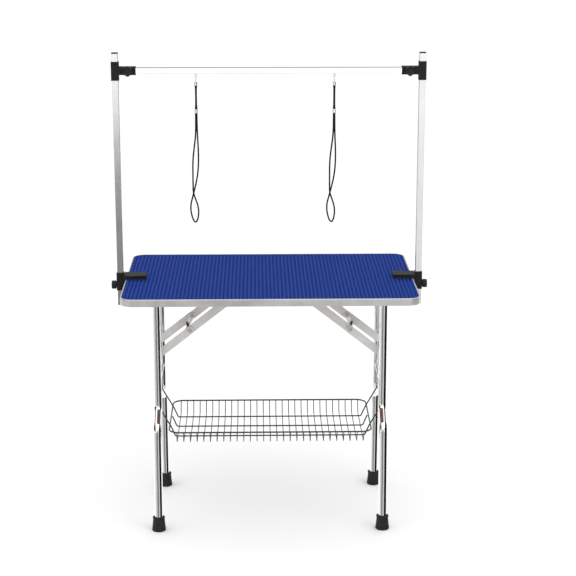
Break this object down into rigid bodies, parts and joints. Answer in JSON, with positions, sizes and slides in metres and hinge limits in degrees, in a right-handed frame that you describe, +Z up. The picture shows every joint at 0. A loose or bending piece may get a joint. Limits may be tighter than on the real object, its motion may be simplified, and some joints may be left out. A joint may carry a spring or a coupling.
{
  "type": "folding grooming table",
  "caption": "Folding pet grooming table with a ribbed mat, braced tube legs, a wire basket and a clamp-on overhead bar carrying cord nooses.",
  "frame": {"origin": "on the floor, under the middle of the table top", "axes": "+X along the top to the right, -Y to the front, +Z up"},
  "size_m": [1.0066, 0.61, 1.504],
  "materials": {
    "board": "raw fibreboard",
    "mat": "matt ribbed rubber",
    "band": "satin extruded edge band",
    "bracket_steel": "light grey coated pressed steel",
    "clamp_iron": "black powder-coated casting",
    "pad_rubber": "matt",
    "chrome": "bright chrome plate",
    "knob_plastic": "fine grained",
    "upright_steel": "satin plated square tube",
    "foot_rubber": "matt",
    "noose_cord": "braided",
    "latch_steel": "black coated",
    "basket_wire": "black coated welded wire",
    "screw_steel": "zinc plated"
  },
  "bodies": {
    "tabletop": {"table_board": "board", "ribbed_mat": "mat", "edge_band": "band", "wood_screws": "screw_steel", "hinge_brackets_left": "bracket_steel", "brace_brackets_left": "bracket_steel", "clamp_frame_left": "clamp_iron", "clamp_pad_left": "pad_rubber", "hinge_brackets_right": "bracket_steel", "brace_brackets_right": "bracket_steel", "clamp_frame_right": "clamp_iron", "clamp_pad_right": "pad_rubber"},
    "clamp_screw_left": {"clamp_screw_left": "chrome"},
    "clamp_screw_right": {"clamp_screw_right": "chrome"},
    "socket_knob_left": {"socket_knob_left": "knob_plastic"},
    "socket_knob_right": {"socket_knob_right": "knob_plastic"},
    "overhead_arm": {"upright_left": "upright_steel", "upright_right": "upright_steel", "upright_cap_left": "knob_plastic", "upright_cap_right": "knob_plastic"},
    "rail": {"tee_bracket_left": "clamp_iron", "tee_bracket_right": "clamp_iron", "cross_rail": "upright_steel", "rail_eyes": "chrome"},
    "rail_knob_left": {"rail_knob_left": "knob_plastic"},
    "rail_knob_right": {"rail_knob_right": "knob_plastic"},
    "noose_left": {"noose_hook_left": "chrome", "noose_cord_left": "noose_cord"},
    "slider_left": {"noose_slider_left": "chrome"},
    "leg_left": {"axle_tube_left": "chrome", "leg_tube_front_left": "chrome", "leg_tube_rear_left": "chrome", "leg_crossbar_left": "chrome", "leg_studs_left": "bracket_steel", "rubber_feet_left": "foot_rubber"},
    "brace_upper_left": {"upper_links_left": "bracket_steel", "brace_rivets_left": "bracket_steel"},
    "brace_lower_left": {"lower_links_left": "bracket_steel"},
    "latch_left": {"latch_lever_left": "latch_steel"},
    "noose_right": {"noose_hook_right": "chrome", "noose_cord_right": "noose_cord"},
    "slider_right": {"noose_slider_right": "chrome"},
    "leg_right": {"axle_tube_right": "chrome", "leg_tube_front_right": "chrome", "leg_tube_rear_right": "chrome", "leg_crossbar_right": "chrome", "leg_studs_right": "bracket_steel", "rubber_feet_right": "foot_rubber"},
    "brace_upper_right": {"upper_links_right": "bracket_steel", "brace_rivets_right": "bracket_steel"},
    "brace_lower_right": {"lower_links_right": "bracket_steel"},
    "latch_right": {"latch_lever_right": "latch_steel"},
    "basket": {"basket_rim": "basket_wire", "basket_floor": "basket_wire", "basket_front": "basket_wire", "basket_back": "basket_wire", "basket_end_left": "basket_wire", "basket_end_right": "basket_wire", "basket_hangers": "basket_wire"}
  },
  "joints": [
    {"name": "leg_fold_left", "type": "hinge", "parent": "tabletop", "child": "leg_left", "pos_m": [-0.358, 0, 0.748], "axis": [0, -1, 0], "range_deg": [0, 88]},
    {"name": "brace_upper_left", "type": "hinge", "parent": "tabletop", "child": "brace_upper_left", "pos_m": [-0.106, 0, 0.75], "axis": [0, 1, 0], "range_deg": [0, 36.56]},
    {"name": "brace_mid_left", "type": "hinge", "parent": "brace_upper_left", "child": "brace_lower_left", "pos_m": [-0.25448, 0, 0.63393], "axis": [0, -1, 0], "range_deg": [0, 177.13]},
    {"name": "latch_left", "type": "hinge", "parent": "brace_upper_left", "child": "latch_left", "pos_m": [-0.25448, 0.083, 0.63393], "axis": [0, -1, 0], "range_deg": [0, 25], "stiffness_Nm_per_rad": 0.2},
    {"name": "leg_fold_right", "type": "hinge", "parent": "tabletop", "child": "leg_right", "pos_m": [0.358, 0, 0.748], "axis": [0, 1, 0], "range_deg": [0, 83]},
    {"name": "brace_upper_right", "type": "hinge", "parent": "tabletop", "child": "brace_upper_right", "pos_m": [0.106, 0, 0.75], "axis": [0, -1, 0], "range_deg": [0, 36.16]},
    {"name": "brace_mid_right", "type": "hinge", "parent": "brace_upper_right", "child": "brace_lower_right", "pos_m": [0.25448, 0, 0.63393], "axis": [0, 1, 0], "range_deg": [0, 169.88]},
    {"name": "latch_right", "type": "hinge", "parent": "brace_upper_right", "child": "latch_right", "pos_m": [0.25448, 0.083, 0.63393], "axis": [0, 1, 0], "range_deg": [0, 25], "stiffness_Nm_per_rad": 0.2},
    {"name": "clamp_screw_left", "type": "hinge", "parent": "tabletop", "child": "clamp_screw_left", "pos_m": [-0.425, -0.024, 0.72], "axis": [0, 0, 1], "continuous": true},
    {"name": "socket_knob_left", "type": "hinge", "parent": "tabletop", "child": "socket_knob_left", "pos_m": [-0.49, -0.024, 0.768], "axis": [1, 0, 0], "continuous": true},
    {"name": "clamp_screw_right", "type": "hinge", "parent": "tabletop", "child": "clamp_screw_right", "pos_m": [0.425, -0.024, 0.72], "axis": [0, 0, 1], "continuous": true},
    {"name": "socket_knob_right", "type": "hinge", "parent": "tabletop", "child": "socket_knob_right", "pos_m": [0.49, -0.024, 0.768], "axis": [1, 0, 0], "continuous": true},
    {"name": "arm_height", "type": "slide", "parent": "tabletop", "child": "overhead_arm", "axis": [0, 0, 1], "range_m": [-0.1, 0.02]},
    {"name": "rail_height", "type": "slide", "parent": "overhead_arm", "child": "rail", "axis": [0, 0, 1], "range_m": [-0.06, 0.02]},
    {"name": "rail_knob_left", "type": "hinge", "parent": "rail", "child": "rail_knob_left", "pos_m": [-0.435, -0.045, 1.4484], "axis": [0, 1, 0], "continuous": true},
    {"name": "noose_swing_left", "type": "hinge", "parent": "rail", "child": "noose_left", "pos_m": [-0.2265, -0.024, 1.4317], "axis": [0, 1, 0], "range_deg": [-25, 25]},
    {"name": "noose_slider_left", "type": "slide", "parent": "noose_left", "child": "slider_left", "axis": [0, 0, 1], "range_m": [-0.05, 0.06]},
    {"name": "rail_knob_right", "type": "hinge", "parent": "rail", "child": "rail_knob_right", "pos_m": [0.435, -0.045, 1.4484], "axis": [0, 1, 0], "continuous": true},
    {"name": "noose_swing_right", "type": "hinge", "parent": "rail", "child": "noose_right", "pos_m": [0.2025, -0.024, 1.4317], "axis": [0, 1, 0], "range_deg": [-25, 25]},
    {"name": "noose_slider_right", "type": "slide", "parent": "noose_right", "child": "slider_right", "axis": [0, 0, 1], "range_m": [-0.05, 0.06]},
    {"name": "basket_lift", "type": "slide", "parent": "tabletop", "child": "basket", "axis": [0, 0, 1], "range_m": [0, 0.05]}
  ],
  "couplings": [
    {"joint": "brace_upper_left", "follows": "leg_fold_left", "ratio": 0.41432},
    {"joint": "brace_mid_left", "follows": "leg_fold_left", "ratio": 2.0094},
    {"joint": "brace_upper_right", "follows": "leg_fold_right", "ratio": 0.43446},
    {"joint": "brace_mid_right", "follows": "leg_fold_right", "ratio": 2.0431}
  ]
}
